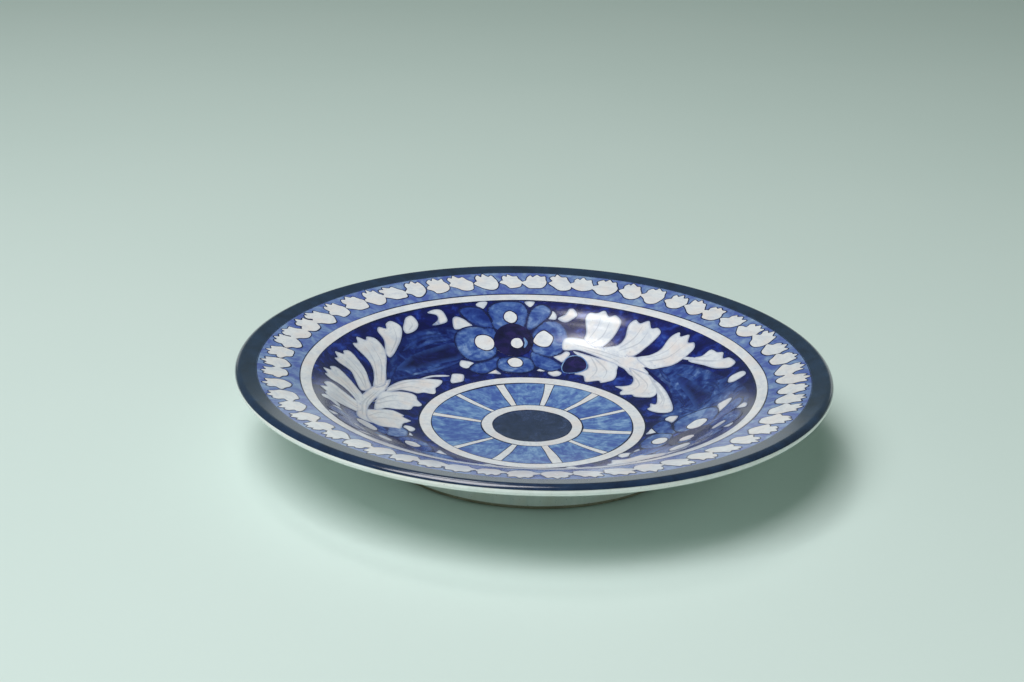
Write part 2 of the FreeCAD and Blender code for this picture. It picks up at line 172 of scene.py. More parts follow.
def sheet(plan, faces, lift, depth, first=0):
    """Points, normals and faces of a film over plan points: its top, underside and the edge between."""
    x, y = plan[:, 0], plan[:, 1]
    up, half = face_normals(x, y), len(plan)
    points = np.concatenate([lifted(x, y, np.full(half, height)) for height in (lift, lift - depth)])
    sides, borders = [], {}
    for face in faces:
        sides.append(tuple(first + corner for corner in face))
        sides.append(tuple(first + half + corner for corner in reversed(face)))
        for start, end in zip(face, face[1:] + face[:1]):
            if (end, start) in borders:
                del borders[(end, start)]
            else:
                borders[(start, end)] = True
    for start, end in borders:
        sides.append((first + end, first + start, first + half + start, first + half + end))
    return points, np.concatenate([up, -up]), sides


def rings(radii):
    """Plan points on rings of given radii, one row of radii to a ring."""
    return np.stack([radii * np.cos(ROUND), radii * np.sin(ROUND)], axis=-1).reshape(-1, 2)


def ring_faces(rows, first=0):
    """Faces that join each ring of points to the next one out."""
    faces = []
    for start in range(first, first + rows * SEGMENTS, SEGMENTS):
        for column in range(SEGMENTS):
            here, beside = start + column, start + (column + 1) % SEGMENTS
            faces.append((here, here + SEGMENTS, beside + SEGMENTS, beside))
    return faces


def band(name, inner, outer, lift, depth, material, rows=None, wobbles=None):
    """A film of the face between two circles, closed all round; wobbles make them hand drawn."""
    rows = rows or max(2, int((outer - inner) / ROW))
    low, high = (edge + (wobbles[side](ROUND) if wobbles else 0 * ROUND)
                 for side, edge in enumerate((inner, outer)))
    radii = low + (high - low) * np.linspace(0, 1, rows + 1)[:, None]
    points, normals, faces = sheet(rings(radii), ring_faces(rows), lift, depth)
    edge = np.minimum(radii - low, high - radii).reshape(-1)
    return make_piece(name, points, faces, normals, material, {"edge": np.tile(edge, 2)})


def disc(name, radius, depth, material, rows):
    """A round film over the middle of the face."""
    radii = radius * np.arange(1, rows + 1) / rows
    plan = np.concatenate([[(0, 0)], rings(radii[:, None])])
    middle = [(0, 1 + column, 1 + (column + 1) % SEGMENTS) for column in range(SEGMENTS)]
    points, normals, faces = sheet(plan, middle + ring_faces(rows - 1, 1), 0, depth)
    edge = radius - np.hypot(plan[:, 0], plan[:, 1])
    return make_piece(name, points, faces, normals, material, {"edge": np.tile(edge, 2)})


def turned(name, outline, material):
    """A solid of revolution from a closed outline of (distance, height) points in millimetres."""
    outline = np.asarray(outline, dtype=float)
    follow = np.roll(outline, -1, axis=0)
    if np.sum(outline[:, 0] * follow[:, 1] - follow[:, 0] * outline[:, 1]) < 0:
        outline = outline[::-1]
    points = np.column_stack([rings(outline[:, :1]), np.repeat(outline[:, 1], SEGMENTS)])
    faces = []
    for row in range(len(outline)):
        here, above = row * SEGMENTS, (row + 1) % len(outline) * SEGMENTS
        for column in range(SEGMENTS):
            beside = (column + 1) % SEGMENTS
            faces.append((here + column, here + beside, above + beside, above + column))
    piece = make_piece(name, points, faces, None, material)
    piece.data.set_sharp_from_angle(angle=math.radians(CREASE))
    return piece


# ---- Brush work: filled shapes and strokes laid on the face ----

def place(angle, distance):
    """Plan position of a painted point, from its degrees and its part of the pattern radius."""
    turn = math.radians(angle)
    return np.array([math.cos(turn), math.sin(turn)]) * distance * PATTERN


SAMPLE = 0.35           # spacing of points along a painted edge, in millimetres


def flowing(points, closed=True):
    """A smooth curve through plan points."""
    points = [np.asarray(point, dtype=float) for point in points]
    count = len(points)
    curve = []
    for index in range(count if closed else count - 1):
        start, end = points[index], points[(index + 1) % count]
        before = points[index - 1] if closed or index > 0 else start
        after = points[(index + 2) % count] if closed or index + 2 < count else end
        steps = max(2, int(np.linalg.norm(end - start) / SAMPLE))
        for share in np.arange(steps) / steps:
            square, cube = share ** 2, share ** 3
            curve.append(0.5 * (2 * start + (end - before) * share
                                + (2 * before - 5 * start + 4 * end - after) * square
                                + (3 * start - before - 3 * end + after) * cube))
    if not closed:
        curve.append(points[-1])
    return np.array(curve)


OVAL_KNOTS = 10


def oval(centre, long_radius, short_radius, wobble, seed):
    """A hand drawn oval in plan, its long radius along the line out from the middle."""
    chance = random.Random(seed)
    centre = np.asarray(centre, dtype=float)
    outwards = centre / np.linalg.norm(centre)
    across = np.array([-outwards[1], outwards[0]])
    points = []
    for knot in range(OVAL_KNOTS):
        angle = math.tau * knot / OVAL_KNOTS
        swell = 1 + chance.uniform(-wobble, wobble)
        points.append(centre + swell * (outwards * long_radius * math.cos(angle)
                                        + across * short_radius * math.sin(angle)))
    return flowing(points)


def inside(points, outline):
    """Which points lie inside a closed outline."""
    x, y = points[:, 0][:, None], points[:, 1][:, None]
    x1, y1 = outline[:, 0][None, :], outline[:, 1][None, :]
    x2, y2 = np.roll(x1, -1, axis=1), np.roll(y1, -1, axis=1)
    crosses = (y1 > y) != (y2 > y)
    with np.errstate(divide="ignore", invalid="ignore"):
        meets = (x2 - x1) * (y - y1) / (y2 - y1) + x1
    return (np.sum(crosses & (x < meets), axis=1) % 2) == 1


def edge_distance(points, outline):
    """Distance from points to the nearest sampled point of an outline."""
    return np.min(np.linalg.norm(points[:, None, :] - outline[None, :, :], axis=2), axis=1)


FILM = 0.05             # thickness of a painted film, in millimetres
OVERLAP = 0.0004        # each film lies this far above the one painted before it
ROW_PITCH = 0.866       # of the points inside a filled shape, as a part of their spacing
CLEAR = 0.45            # how far they keep from its edge, as a part of it


class Paint:
    """Films of one colour, gathered into one piece."""

    def __init__(self, name, material, lift):
        self.name = name
        self.material = material
        self.lift = lift
        self.points, self.normals, self.faces = [], [], []
        self.values = {"edge": [], "tone": []}
        self.count = 0

    def add(self, plan, faces, edge, tone):
        """Lay one more film, a little above the last."""
        points, normals, sides = sheet(plan, faces, self.lift, FILM, self.count)
        self.lift += OVERLAP
        self.count += len(points)
        self.points.append(points)
        self.normals.append(normals)
        self.faces += sides
        self.values["edge"].append(np.tile(edge, 2))
        self.values["tone"].append(np.full(len(points), tone))

    def fill(self, outline, tone=0.5, spacing=1.1):
        """A filled shape in plan."""
        low, high = outline.min(axis=0), outline.max(axis=0)
        columns = np.arange(low[0], high[0], spacing)
        rows = np.arange(low[1], high[1], spacing * ROW_PITCH)
        grid = np.array([(x + (spacing / 2 if number % 2 else 0), y)
                         for number, y in enumerate(rows) for x in columns])
        grid = grid[inside(grid, outline)]
        grid = grid[edge_distance(grid, outline) > spacing * CLEAR]
        plan = np.concatenate([outline, grid])
        ring = len(outline)
        edges = [(index, (index + 1) % ring) for index in range(ring)]
        result = delaunay_2d_cdt([Vector(point) for point in plan], edges, [], 1, 1e-5)
        corners = np.array([tuple(point) for point in result[0]])
        faces = []
        for face in result[2]:
            a, b, c = (corners[index] for index in face[:3])
            turn = (b[0] - a[0]) * (c[1] - a[1]) - (b[1] - a[1]) * (c[0] - a[0])
            faces.append(tuple(face) if turn > 0 else tuple(reversed(face)))
        self.add(corners, faces, edge_distance(corners, outline), tone)

    def stroke(self, path, width, closed=False, tone=0.5):
        """A brush stroke along a plan path.  The width is a number or a function of the share gone."""
        path = np.asarray(path)
        count = len(path)
        if closed:
            ahead, behind = np.roll(path, -1, axis=0), np.roll(path, 1, axis=0)
        else:
            ahead = np.concatenate([path[1:], path[-1:]])
            behind = np.concatenate([path[:1], path[:-1]])
        heading = ahead - behind
        heading /= np.maximum(np.linalg.norm(heading, axis=1, keepdims=True), 1e-9)
        side = np.stack([-heading[:, 1], heading[:, 0]], axis=1)
        shares = np.arange(count) / max(count - 1, 1)
        widths = np.array([width(share) if callable(width) else width for share in shares])
        half = widths[:, None] / 2
        plan = np.concatenate([path - side * half, path, path + side * half])
        faces = []
        for index in range(count if closed else count - 1):
            follow = (index + 1) % count
            for row in (0, count):
                faces.append((row + index, row + follow, row + count + follow, row + count + index))
        edge = np.concatenate([np.zeros(count), widths / 2, np.zeros(count)])
        self.add(plan, faces, edge, tone)

    def finish(self, slot, *nodes):
        """Make the piece, and hide the CAD nodes that it covers."""
        values = {key: np.concatenate(numbers) for key, numbers in self.values.items()}
        covers(make_piece(self.name, np.concatenate(self.points), self.faces,
                          np.concatenate(self.normals), self.material, values), slot, *nodes)


def tapered(widest, ends=0.25, middle=0.5):
    """A stroke width that swells to its widest at a share of the length."""
    def width(share):
        gone = share / middle if share < middle else (1 - share) / (1 - middle)
        return widest * (ends + (1 - ends) * math.sin(math.pi / 2 * min(max(gone, 0), 1)))
    return width


# ---- Materials ----

def colour(code):
    """A linear colour from a six digit sRGB code."""
    parts = [int(code[index:index + 2], 16) / 255 for index in (0, 2, 4)]
    linear = [part / 12.92 if part <= 0.04045 else ((part + 0.055) / 1.055) ** 2.4 for part in parts]
    return (*linear, 1.0)


GLASS_IOR = 1.5
COAT_ROUGHNESS = 0.12
BUMP = 0.35             # strength; each material says how deep
BROAD_WAVES = 90.0      # noise scales, in turns to a metre
FINE_WAVES = 900.0
FINE_SHARE = 0.18


class Nodes:
    """A short way to build a node tree."""

    def __init__(self, name):
        self.material = bpy.data.materials.new(name)
        self.material.use_nodes = True
        self.tree = self.material.node_tree
        self.tree.nodes.clear()

    def add(self, kind, inputs=None, **settings):
        node = self.tree.nodes.new(kind)
        for key, setting in settings.items():
            setattr(node, key, setting)
        for key, source in (inputs or {}).items():
            socket = node.inputs[key]
            if isinstance(source, bpy.types.NodeSocket):
                self.tree.links.new(source, socket)
            else:
                socket.default_value = source
        return node

    def math(self, operation, first, second=0.0):
        return self.add("ShaderNodeMath", {0: first, 1: second}, operation=operation).outputs[0]

    def noise(self, vector, scale, detail=3.0, roughness=0.55, distortion=0.0):
        inputs = {"Vector": vector, "Scale": scale, "Detail": detail, "Roughness": roughness,
                  "Distortion": distortion}
        return self.add("ShaderNodeTexNoise", inputs).outputs["Fac"]

    def ramp(self, share, stops):
        node = self.add("ShaderNodeValToRGB", {"Fac": share})
        elements = node.color_ramp.elements
        elements[0].position, elements[0].color = stops[0][0], colour(stops[0][1])
        elements[1].position, elements[1].color = stops[-1][0], colour(stops[-1][1])
        for position, code in stops[1:-1]:
            elements.new(position).color = colour(code)
        return node.outputs["Color"]

    def mix(self, share, first, second):
        inputs = {0: share, 6: first, 7: second}
        return self.add("ShaderNodeMix", inputs, data_type="RGBA").outputs[2]

    def spread(self, value, low, high):
        """A value stretched so that low becomes 0 and high becomes 1."""
        inputs = {"Value": value, "From Min": low, "From Max": high}
        return self.add("ShaderNodeMapRange", inputs, clamp=True).outputs["Result"]

    def attribute(self, name):
        return self.add("ShaderNodeAttribute", attribute_name=name).outputs["Fac"]

    def edged(self, paint, code, width, share):
        """A paint that turns to another colour within a width of its edge."""
        rim = self.math("SUBTRACT", 1.0, self.spread(self.attribute("edge"), 0.0, width))
        return self.mix(self.math("MULTIPLY", rim, share), paint, colour(code))

    def specked(self, paint, code, scale, least, share):
        """A paint with fine specks of another colour."""
        specks = self.spread(self.noise(self.place(), scale, 1.0), least, 0.78)
        return self.mix(self.math("MULTIPLY", specks, share), paint, colour(code))

    def plate_space(self, round_scale, out_scale):
        """Seamless coordinates that follow the circles of the plate: long round it, fine outwards."""
        def vector(operation, inputs):
            return self.add("ShaderNodeVectorMath", inputs, operation=operation).outputs

        flat = vector("MULTIPLY", {0: self.place(), 1: (1, 1, 0)})[0]
        length = vector("LENGTH", {0: flat})["Value"]
        unit = vector("NORMALIZE", {0: flat})[0]
        swept = vector("SCALE", {0: unit, "Scale": round_scale})[0]
        outwards = self.add("ShaderNodeCombineXYZ", {"Z": self.math("MULTIPLY", length, out_scale)})
        return vector("ADD", {0: swept, 1: outwards.outputs[0]})[0]

    def place(self):
        return self.add("ShaderNodeTexCoord").outputs["Object"]

    def surface(self, base, roughness, bump, coat=0.6, bump_size=0.00002, specular=0.5):
        """Close the tree with glazed clay: a paint colour, a soft gloss and a clear coat."""
        bumped = self.add("ShaderNodeBump", {"Height": bump, "Strength": BUMP, "Distance": bump_size})
        shader = self.add("ShaderNodeBsdfPrincipled", {
            "Base Color": base, "Roughness": roughness, "Normal": bumped.outputs[0],
            "Coat Weight": coat, "Coat Roughness": COAT_ROUGHNESS, "IOR": GLASS_IOR,
            "Coat IOR": GLASS_IOR, "Specular IOR Level": specular})
        output = self.add("ShaderNodeOutputMaterial")
        self.tree.links.new(shader.outputs[0], output.inputs["Surface"])
        return self.material


def glaze_waves(nodes):
    """The slight unevenness of a clear glaze."""
    broad = nodes.noise(nodes.place(), BROAD_WAVES, 2.0)
    fine = nodes.noise(nodes.place(), FINE_WAVES, 2.0)
    return nodes.math("ADD", broad, nodes.math("MULTIPLY", fine, FINE_SHARE))


def wash(name, stops, brush, edge=None, roughness=0.22, calm=0.15):
    """Brushed on blue: streaks along the brush, cloudy pooling, and a darker line where it ends.

    The brush is the streaks' scale round and outwards, and their part in the tone.  The edge is the
    line's colour and width.
    """
    nodes = Nodes(name)
    round_scale, out_scale, streak = brush
    streaks = nodes.noise(nodes.plate_space(round_scale, out_scale), 1.0, 5.0, 0.6, 0.4)
    clouds = nodes.noise(nodes.place(), 120.0, 5.0, 0.62, 1.2)
    tone = nodes.math("MULTIPLY", nodes.math("SUBTRACT", nodes.attribute("tone"), 0.5), 0.5)
    mixed = nodes.math("ADD", nodes.math("MULTIPLY", streaks, streak),
                       nodes.math("MULTIPLY", clouds, 1 - streak))
    paint = nodes.ramp(nodes.math("ADD", nodes.spread(mixed, 0.5 - calm, 0.5 + calm), tone), stops)
    if edge:
        uneven = nodes.noise(nodes.place(), 160.0, 2.0)
        paint = nodes.edged(paint, *edge, nodes.spread(uneven, 0.3, 0.6))
    paint = nodes.specked(paint, stops[0][1], 1500.0, 0.68, 0.35)
    rough = nodes.math("ADD", nodes.math("MULTIPLY", clouds, 0.12), roughness - 0.06)
    return nodes.surface(paint, rough, glaze_waves(nodes))


def white(name, light, shade, warm, roughness=0.25, coat=0.5, edge_tint=None):
    """White glaze or paint, faintly streaked by the brush and warmer where it is thin."""
    nodes = Nodes(name)
    streaks = nodes.noise(nodes.plate_space(22.0, 420.0), 1.0, 4.0, 0.6, 0.5)
    clouds = nodes.noise(nodes.place(), 110.0, 3.0)
    paint = nodes.mix(nodes.spread(streaks, 0.42, 0.72), colour(light), colour(shade))
    paint = nodes.mix(nodes.math("MULTIPLY", nodes.spread(clouds, 0.45, 0.7), 0.6), paint, colour(warm))
    paint = nodes.specked(paint, "6f7684", 1300.0, 0.70, 0.4)
    if edge_tint:
        paint = nodes.edged(paint, edge_tint, 0.9, nodes.spread(clouds, 0.25, 0.6))
    rough = nodes.math("ADD", nodes.math("MULTIPLY", clouds, 0.1), roughness - 0.05)
    return nodes.surface(paint, rough, glaze_waves(nodes), coat)


def bare_clay():
    """The unglazed foot: sandy and matt, with dark grog."""
    nodes = Nodes("bare_clay")
    grain = nodes.noise(nodes.place(), 1400.0, 4.0, 0.65)
    patches = nodes.noise(nodes.place(), 60.0, 3.0)
    clay = nodes.mix(nodes.spread(patches, 0.35, 0.65), colour("b3a794"), colour("988c7a"))
    clay = nodes.mix(nodes.spread(grain, 0.58, 0.7), clay, colour("6c6253"))
    return nodes.surface(clay, 0.9, grain, coat=0.0, bump_size=0.00015, specular=0.25)


WELL_BLUE = wash("well_blue", [(0.0, "04044a"), (0.3, "0b1062"), (0.55, "1c3290"), (0.8, "3858ae"),
                               (1.0, "5c7cc0")], (11, 210, 0.45))
BORDER_BLUE = wash("border_blue", [(0.0, "5062ae"), (0.35, "6f88be"), (0.65, "8ba5ca"),
                                   (1.0, "a9bfd8")], (26, 140, 0.4))
PANEL_BLUE = wash("panel_blue", [(0.0, "4560ae"), (0.35, "668ac4"), (0.65, "8aadd6"), (1.0, "b4cbe7")],
                  (16, 260, 0.45))
PETAL_BLUE = wash("petal_blue", [(0.0, "162a78"), (0.4, "2e4a98"), (0.7, "5070b0"), (1.0, "829cca")],
                  (14, 300, 0.5), edge=("141f5c", 1.0))
BUD_BLUE = wash("bud_blue", [(0.0, "070b50"), (0.35, "132470"), (0.7, "345298"), (1.0, "6a86be")],
                (16, 190, 0.45), edge=("141c5c", 2.0))
DEEP_BLUE = wash("deep_blue", [(0.0, "07042c"), (0.5, "120d47"), (1.0, "2a1c62")], (12, 260, 0.4))
CORE_BLUE = wash("core_blue", [(0.0, "06053a"), (0.5, "0d0f4e"), (1.0, "1a2470")],
                 (14, 200, 0.4), edge=("2c4890", 2.6))
OUTLINE_BLUE = wash("outline_blue", [(0.0, "0a0f3a"), (0.6, "141d54"), (1.0, "22326e")], (30, 300, 0.4))
LIP_DARK = wash("lip_dark", [(0.0, "15233f"), (0.5, "203556"), (1.0, "304d73")],
                (14, 160, 0.5), roughness=0.16, calm=0.25)
HUB_DARK = wash("hub_dark", [(0.0, "222d4e"), (0.5, "303d63"), (1.0, "4a5c86")], (8, 300, 0.4))
WHITE_PAINT = white("white_paint", "eaecef", "d2d7e2", "ecdfd9")
WHITE_GLAZE = white("white_glaze", "f8fbf9", "eaf0ee", "f0ece3", roughness=0.2, coat=0.7)
LEAF_WHITE = white("leaf_white", "e6e9ee", "ccd3e0", "e8d9d2", edge_tint="8e9cc0")
VEIN_GREY = white("vein_grey", "ccd0d9", "bac1ce", "d0c9c6")
BARE_CLAY = bare_clay()


# ---- The glazed form: bands of the face, lip, underside and foot ----

LINE_LIFT = 0.05        # painted lines and motifs lie this far above the washes
OVER_LIFT = 0.09        # and a second coat this far


def covers(piece, slot, *nodes):
    """Hide the CAD nodes that a piece stands for. The slot is not used."""
    if nodes:
        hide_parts(*nodes)
    return piece


TUCK = 1.2              # how far a wash runs under the white line beside it, in millimetres
HUB_ROWS = 18
BORDER_ROWS = 23


def make_bands():
    """The washes of the face, each running a little under the white line beside it."""
    covers(disc("hub_disc_paint", HUB + TUCK, PAINT, HUB_DARK, HUB_ROWS), "dark_glaze", "hub_disc")
    panel = band("medallion_paint", HUB + TUCK, PANEL + TUCK, 0, PAINT, PANEL_BLUE)
    covers(panel, "blue_wash", "medallion_panels")
    well = band("well_paint", PANEL + TUCK, WELL_LINE + TUCK, 0, PAINT, WELL_BLUE)
    covers(well, "cobalt_glaze", "well_wash")
    border = band("border_paint", WELL_LINE + TUCK, LIP_BAND, 0, PAINT, BORDER_BLUE, BORDER_ROWS)
    covers(border, "blue_wash", "border_wash")


WHITE_RINGS = [         # name, inner and outer radius, wobble, CAD node
    ("hub_line_paint", HUB, HUB_LINE, 0.35, "hub_line"),
    ("medallion_line_paint", PANEL, WELL_START, 0.4, "medallion_line"),
    ("well_line_paint", WELL_LINE, FLANGE_START, 0.4, "well_line"),
]
RIM_SHOWS = 0.55        # the dark line shows this far on both sides of a white ring
RIM_DROP = 0.02         # and lies this far below it
RIM_ROWS = 6


def make_white_lines():
    """The three white rings, each with wandering edges and a thin dark line beside it."""
    for number, (name, inner, outer, wobble, node) in enumerate(WHITE_RINGS):
        line, shade = ([wander(seed + number, wobble) for seed in seeds]
                       for seeds in ((10, 20), (30, 40)))
        rim = band(f"{name}_edge", inner - RIM_SHOWS, outer + RIM_SHOWS, LINE_LIFT - RIM_DROP, FILM,
                   OUTLINE_BLUE, RIM_ROWS, shade)
        covers(rim, "cobalt_glaze")
        covers(band(name, inner, outer, LINE_LIFT, FILM, WHITE_PAINT, None, line), "white_paint", node)


def lip_arc(radius, start, end, count):
    """Points round the lip from one angle to another, in degrees above the horizontal."""
    angles = np.radians(np.linspace(start, end, count))
    return np.stack([LIP_X + radius * np.cos(angles), LIP_Z + radius * np.sin(angles)], axis=1)


def face_line(start, end, depth, count):
    """Points along the face, or a layer below it, between two distances."""
    distances = np.linspace(start, end, count)
    return np.stack([distances, face_height(distances, depth)], axis=1)


def lip_joint(radius, side=1):
    """Distance from the axis where the lip's round meets the flange above (1) or below (-1)."""
    return LIP_X - side * radius * LIP_LEAN


LIP_TOP = math.degrees(math.acos(-LIP_LEAN))
LIP_END = 20.0          # degrees above the horizontal where the dark band ends
LIP_TUCK = 0.4          # the dark band runs this far over the border's wash
MIDDLE = 0.001          # a turned outline stops this far from the axis
GLAZE = PAINT + 0.3     # thickness of the white glaze and the paint over it
SLACK = 0.01            # the white ground lies this far under the washes
FOOT_GLAZE = 0.3        # the glaze stands this far out from the foot
BARE_FOOT = 1.6         # height of the foot's bare clay
HEM = 1.6               # the glaze curls into the foot over this width
HEM_RISE = 0.55         # and this part of it in height
BEVEL = 0.8             # of the foot's edges
BEVEL_ROUND = 0.3


def make_lip():
    """The dark band over the lip."""
    deep = LIP_CURVE - PAINT
    outline = np.concatenate([
        face_line(LIP_BAND - LIP_TUCK, lip_joint(LIP_CURVE), 0, 14)[:-1],
        lip_arc(LIP_CURVE, LIP_TOP, LIP_END, 16),
        lip_arc(deep, LIP_END, LIP_TOP, 16)[:-1],
        face_line(lip_joint(deep), LIP_BAND - LIP_TUCK, PAINT, 14)])
    covers(turned("lip_paint", outline, LIP_DARK), "dark_glaze", "lip_band")


def make_underside():
    """The white ground of the face and lip, the underside's coat, the foot's ring and its inside."""
    skin, core = LIP_CURVE - PAINT, LIP_CURVE - GLAZE
    low_skin, low_core = WALL - PAINT, WALL - GLAZE
    foot_out, foot_in = reach("foot_ring"), reach("foot_well_glaze")
    below = LIP_TOP - 180
    ground = np.concatenate([
        face_line(MIDDLE, lip_joint(core), GLAZE, 50)[:-1],
        lip_arc(core, LIP_TOP, below, 36),
        lip_arc(skin, below, LIP_TOP, 36)[:-1],
        face_line(lip_joint(skin), MIDDLE, PAINT + SLACK, 50)])
    covers(turned("white_ground_skin", ground, WHITE_GLAZE), "white_glaze", "white_ground")
    skirt = foot_out + FOOT_GLAZE
    hem_top = float(face_height(skirt + HEM, low_skin)) - HEM * HEM_RISE
    curl = [(skirt + HEM * (1 - math.sin(turn)), hem_top + HEM * HEM_RISE * (1 - math.cos(turn)))
            for turn in np.linspace(math.pi / 2, 0, 6)]
    coat = np.concatenate([
        face_line(lip_joint(skin, -1), skirt + HEM, low_skin, 60),
        curl[1:-1],
        [(skirt, BARE_FOOT + 2.0), (skirt, BARE_FOOT), (foot_out, BARE_FOOT)],
        face_line(foot_out, lip_joint(core, -1), low_core, 60)])
    covers(turned("back_glaze_skin", coat, WHITE_GLAZE), "white_glaze", "back_glaze")
    recess = np.concatenate([
        face_line(MIDDLE, foot_in, low_core, 40), face_line(foot_in, MIDDLE, low_skin, 40)])
    covers(turned("foot_well_skin", recess, WHITE_GLAZE), "white_glaze", "foot_well_glaze")
    bend = BEVEL * BEVEL_ROUND
    ring = np.concatenate([
        face_line(foot_in, foot_out, low_core, 8),
        [(foot_out, BEVEL), (foot_out - bend, bend), (foot_out - BEVEL, 0),
         (foot_in + BEVEL, 0), (foot_in + bend, bend), (foot_in, BEVEL)]])
    covers(turned("foot_ring_skin", ring, BARE_CLAY), "clay", "foot_ring")


# ---- Medallion spokes and border leaves ----

# Each spoke's angle and its widths at the hub and at the rim of the medallion.
SPOKES = [(21, 1.2, 2.2), (50, 1.2, 3.5), (80, 1.5, 3.8), (111, 2.2, 3.8), (141, 1.4, 2.6),
          (174, 1.6, 3.0), (223, 1.2, 2.6), (251, 1.8, 4.0), (284.5, 2.4, 4.3), (316, 1.6, 2.6),
          (349, 2.8, 2.9)]
SPOKE_TUCK = 0.8        # a spoke's ends run this far under the rings, in millimetres
SPOKE_DROP = 0.03       # a spoke lies this far below the rings
SPOKE_RIM_DROP = 0.04   # and its dark edge this far
SPOKE_RIM = 0.75        # the dark edge is wider than the spoke by this
SPOKE_RIPPLE = 0.06


def make_spokes():
    """White spokes across the medallion, each a single brush stroke over a darker one."""
    chance = random.Random(3)
    spokes = Paint("spoke_paint", WHITE_PAINT, LINE_LIFT - SPOKE_DROP)
    shades = Paint("spoke_edge", OUTLINE_BLUE, LINE_LIFT - SPOKE_RIM_DROP)
    for angle, start, end in SPOKES:
        lean = chance.uniform(-1.5, 1.5)
        bow = chance.uniform(-0.8, 0.8)
        path = flowing([
            place(angle + lean, (HUB_LINE - SPOKE_TUCK) / PATTERN),
            place(angle + bow, (HUB_LINE + PANEL) / 2 / PATTERN),
            place(angle - lean * 0.4, (PANEL + SPOKE_TUCK) / PATTERN)], closed=False)
        swell = chance.uniform(0, 6)

        def width(share, start=start, end=end, swell=swell):
            return (start + (end - start) * share) * (1 + SPOKE_RIPPLE * math.sin(swell + share * 9))

        spokes.stroke(path, width, tone=chance.random())
        shades.stroke(path, lambda share, width=width: width(share) + SPOKE_RIM)
    shades.finish("cobalt_glaze")
    spokes.finish("white_paint", "medallion_spokes")


LEAF_COUNT = 58
LEAF_MIDDLE = 0.884     # part of the pattern radius
# A border leaf's outline: degrees round from its middle, and parts of the pattern radius out from it.
BORDER_LEAF = [
    (1.8, .043), (1.1, .036), (0.4, .053), (-0.5, .036), (-1.5, .041), (-1.9, .02), (-2.4, 0),
    (-2.2, -.022), (-1.4, -.04), (0.1, -.048), (1.5, -.044), (2.5, -.027), (3.7, -.01), (3, .004),
    (2.4, .01), (2.5, .028)]


def make_border_leaves():
    """The chain round the flange: each leaf has a long upright lobe and a side lobe to the next one."""
    chance = random.Random(11)
    leaves = Paint("border_leaf_paint", WHITE_PAINT, OVER_LIFT)
    rims = Paint("border_leaf_edge", OUTLINE_BLUE, LINE_LIFT)
    angle = 90.0
    steps = [chance.uniform(0.9, 1.1) for _ in range(LEAF_COUNT)]
    scale = 360 / sum(steps)
    for step in steps:
        squeeze = chance.uniform(0.94, 1.1)
        tall = chance.uniform(0.9, 1.08)
        lean = chance.uniform(-8, 22)
        knots = []
        for across, out in BORDER_LEAF:
            turn = across * squeeze + chance.uniform(-0.2, 0.2) + lean * out
            distance = out * tall + chance.uniform(-0.003, 0.003)
            knots.append(place(angle + turn, LEAF_MIDDLE + distance))
        outline = flowing(knots)[::-1]
        leaves.fill(outline, tone=chance.random(), spacing=1.3)
        rims.stroke(outline, chance.uniform(0.85, 1.25), closed=True)
        angle += step * scale
    rims.finish("cobalt_glaze")
    leaves.finish("white_paint", "border_leaves")


# ---- Flowers and sprays of the well.  Places are (degrees, part of the pattern radius) ----

BUD_LIFT = 0.04         # how far the coats of the well lie above the wash, in millimetres
RIM_LIFT = 0.05
CHIP_LIFT = 0.066
PETAL_LIFT = 0.08
LEAF_LIFT = 0.098
CORE_LIFT = 0.12
DOT_LIFT = 0.16

FLOWER_ANGLES = [97.3, 217.0, 338.0]

# Outlines are turned from the flower's own line.  The four petals between lie under the four main ones.
PETALS_BETWEEN = [
    [(7.0, .64), (11.0, .654), (13.9, .672), (15.9, .708), (14.8, .729), (12.0, .732), (9.0, .721),
     (7.4, .696), (6.0, .665)],
    [(-5.3, .65), (-6.0, .692), (-7.6, .724), (-9.9, .739), (-12.0, .729), (-13.1, .708), (-12.0, .68),
     (-9.4, .655), (-6.6, .636)],
    [(6.5, .52), (11.9, .50), (18.4, .49), (21.9, .462), (17.2, .431), (12.3, .44), (7.4, .47)],
    [(-7.5, .54), (-13.7, .52), (-18.4, .498), (-21.5, .472), (-17.3, .442), (-12.8, .448),
     (-8.0, .478)],
]
PETALS = [
    [(4.6, .636), (6.6, .68), (6.7, .714), (4.3, .742), (.5, .751), (-3.5, .745), (-5.6, .712),
     (-5.5, .682), (-3.8, .644)],
    [(5.6, .63), (9.8, .646), (13.9, .652), (18.2, .643), (20.9, .616), (21.6, .574), (20.8, .536),
     (18.2, .51), (13.7, .505), (7.4, .53)],
    [(-7.4, .622), (-10.3, .66), (-12.9, .675), (-16.9, .664), (-19.4, .635), (-20.2, .592),
     (-19.0, .55), (-15.2, .525), (-10.5, .53), (-7.4, .555)],
    [(5.2, .51), (8.2, .47), (6.5, .437), (.7, .421), (-5.5, .426), (-9.0, .458), (-5.6, .51)],
]
# Round shapes as (turn from the flower, distance, radius outwards, radius across).
PETAL_DOTS = [(-0.1, .682, .021, .0235), (10.4, .587, .033, .036), (-11.4, .600, .033, .035),
              (-0.3, .482, .025, .028)]
HEART = (-0.4, .588, .071, .076)
HEART_DOT = (-1.7, .580, .023, .0225)

